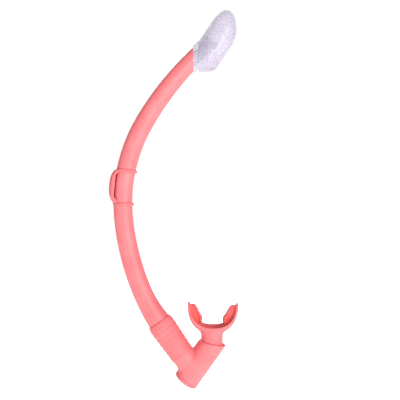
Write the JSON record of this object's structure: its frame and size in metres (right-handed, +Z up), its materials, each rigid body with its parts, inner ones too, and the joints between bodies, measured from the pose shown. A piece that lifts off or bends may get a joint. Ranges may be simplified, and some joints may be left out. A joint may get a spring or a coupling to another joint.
{
  "type": "snorkel",
  "caption": "Curved coral snorkel tube with sliding mask-strap keeper, short ribbed hose, V-shaped purge elbow, silicone mouthpiece and clear dry-valve top.",
  "frame": {"origin": "middle of the strap slot between the keeper's plate and the barrel", "axes": "+Z up along the barrel, +X from the barrel towards the mouthpiece, Y across; mirror plane XZ"},
  "size_m": [0.1498, 0.0324, 0.4416],
  "materials": {
    "coral_plastic": "satin",
    "coral_silicone": "satin",
    "clear_plastic": "clear gloss",
    "white_plastic": "translucent white",
    "clear_silicone": "satin",
    "steel": "brushed"
  },
  "bodies": {
    "barrel": {"barrel": "coral_plastic", "valve_body": "clear_plastic", "top_cover": "clear_plastic", "pivot_pin": "steel"},
    "keeper": {"keeper": "coral_silicone"},
    "hose": {"hose_connector": "coral_plastic", "flex_hose": "coral_silicone"},
    "elbow": {"elbow_housing": "coral_plastic", "purge_seat": "white_plastic", "purge_cover": "coral_plastic"},
    "purge_flap": {"purge_membrane": "clear_silicone"},
    "mouthpiece": {"mouthpiece": "coral_silicone"},
    "float_arm": {"valve_lever": "white_plastic", "seal_disc": "clear_silicone", "float_shell": "white_plastic", "float_cap": "white_plastic"}
  },
  "joints": [
    {"name": "keeper_slide", "type": "hinge", "parent": "barrel", "child": "keeper", "pos_m": [0.1984, 0, -0.0175], "axis": [0, 1, 0], "range_deg": [-3, 16]},
    {"name": "hose_turn", "type": "hinge", "parent": "barrel", "child": "hose", "pos_m": [0.054, 0, -0.15525], "axis": [0.5764, 0, -0.8171], "range_deg": [-45, 45]},
    {"name": "hose_bend", "type": "hinge", "parent": "hose", "child": "elbow", "pos_m": [0.06784, 0, -0.17486], "axis": [0, 1, 0], "range_deg": [-18, 32], "stiffness_Nm_per_rad": 1.5, "deforming": ["flex_hose"]},
    {"name": "purge_lift", "type": "slide", "parent": "elbow", "child": "purge_flap", "axis": [-0.5779, 0, -0.8161], "range_m": [0, 0.0012], "stiffness_N_per_m": 30, "springref_m": -0.0005},
    {"name": "mouthpiece_swivel", "type": "hinge", "parent": "elbow", "child": "mouthpiece", "pos_m": [0.1165, 0, -0.1807], "axis": [0.2011, 0, 0.9796], "range_deg": [-40, 40]},
    {"name": "float_hinge", "type": "hinge", "parent": "barrel", "child": "float_arm", "pos_m": [0.1216, 0, 0.1664], "axis": [0, -1, 0], "range_deg": [0, 20]}
  ]
}
